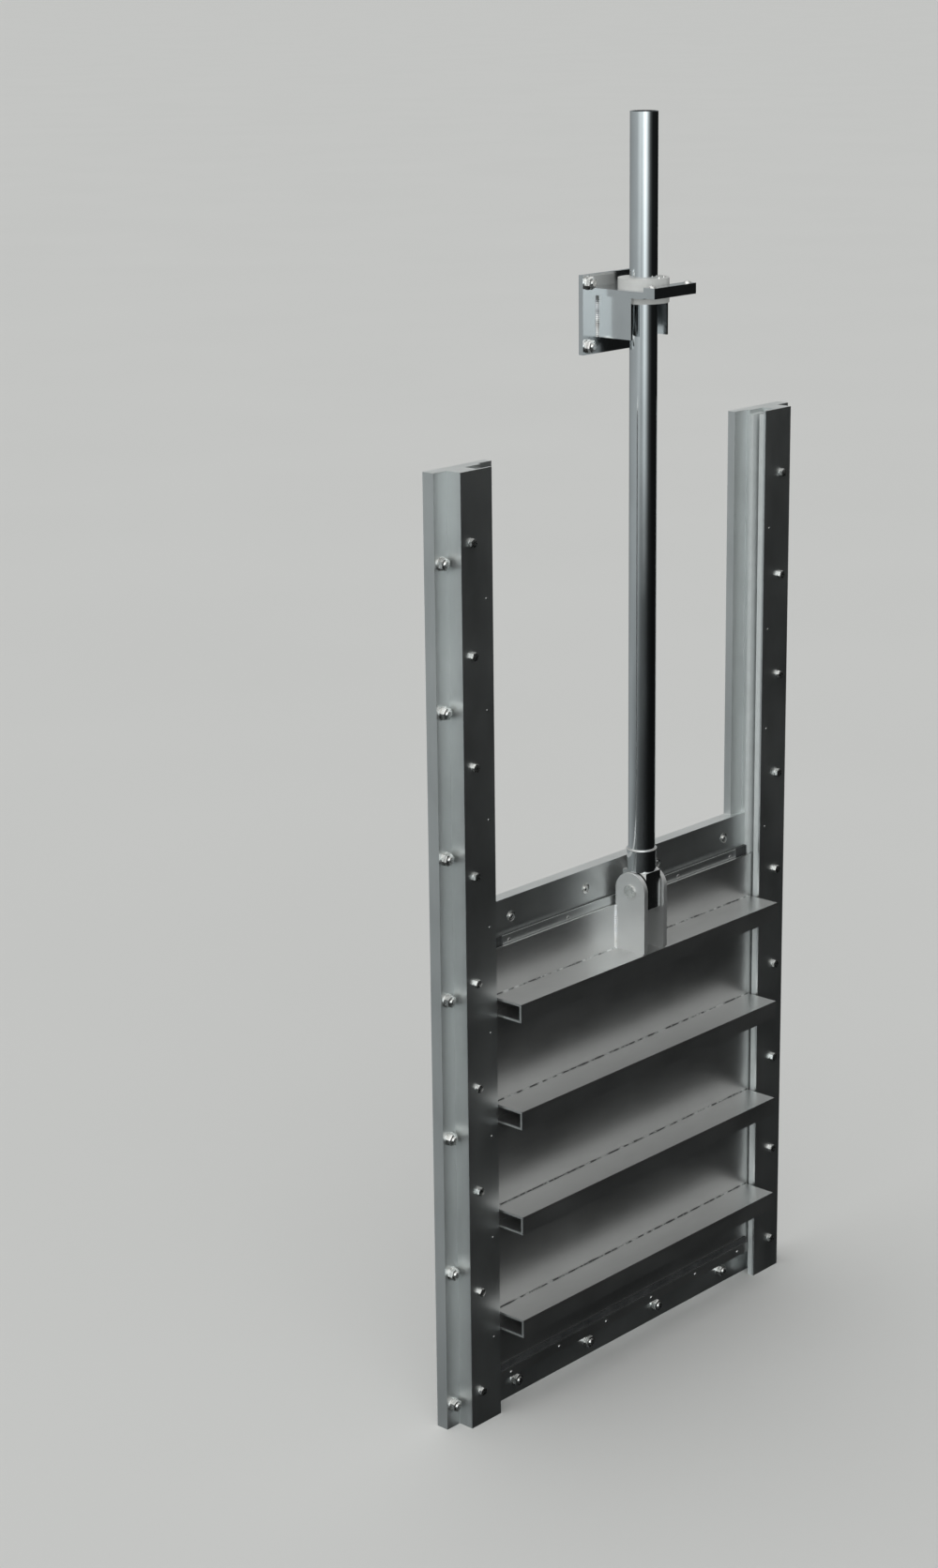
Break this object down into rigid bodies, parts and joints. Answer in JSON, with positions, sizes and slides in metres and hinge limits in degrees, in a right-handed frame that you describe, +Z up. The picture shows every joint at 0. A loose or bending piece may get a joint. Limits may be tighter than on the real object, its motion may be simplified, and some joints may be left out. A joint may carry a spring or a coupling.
{
  "type": "wall sluice gate",
  "caption": "Wall-mounted stainless sluice gate: ribbed gate plate in side guides with rubber seals, lifted by a long round stem through a bushed wall bracket.",
  "frame": {"origin": "middle of the sill's flat wall face", "axes": "+Z up, the front faces -Y away from the wall, X runs along the wall"},
  "size_m": [1.2, 0.1753, 2.845],
  "materials": {
    "frame_steel": "bright rolled",
    "gate_steel": "bright rolled",
    "stem_steel": "polished tube",
    "bracket_steel": "bright rolled",
    "bush_plastic": "machined plastic",
    "strip_plastic": "planed plastic",
    "seal_rubber": "matte"
  },
  "bodies": {
    "frame": {"base_left": "frame_steel", "base_right": "frame_steel", "sill": "frame_steel", "lintel": "frame_steel", "guide_bar_left": "frame_steel", "guide_bar_right": "frame_steel", "guide_caps_left": "frame_steel", "guide_caps_right": "frame_steel", "front_plate_left": "frame_steel", "front_plate_right": "frame_steel", "slide_strip_left": "strip_plastic", "slide_strip_right": "strip_plastic", "seat_strip_left": "strip_plastic", "seat_strip_right": "strip_plastic", "lintel_seal": "seal_rubber", "lintel_clamp": "gate_steel", "bracket_plate": "bracket_steel", "bracket_cheek_left": "bracket_steel", "bracket_cheek_right": "bracket_steel", "bracket_table": "bracket_steel", "bracket_bar": "bracket_steel", "stem_bush": "bush_plastic", "bush_ring": "bush_plastic"},
    "gate": {"gate_plate": "gate_steel", "rib_1": "gate_steel", "rib_2": "gate_steel", "rib_3": "gate_steel", "rib_4": "gate_steel", "bottom_seal": "seal_rubber", "bottom_clamp": "gate_steel", "lug_left": "gate_steel", "lug_right": "gate_steel", "clevis_pin": "stem_steel", "stem_eye": "gate_steel", "stem_sleeve": "stem_steel", "stem_tube": "stem_steel"}
  },
  "joints": [
    {"name": "gate_lift", "type": "slide", "parent": "frame", "child": "gate", "axis": [0, 0, 1], "range_m": [0, 0.99]}
  ]
}
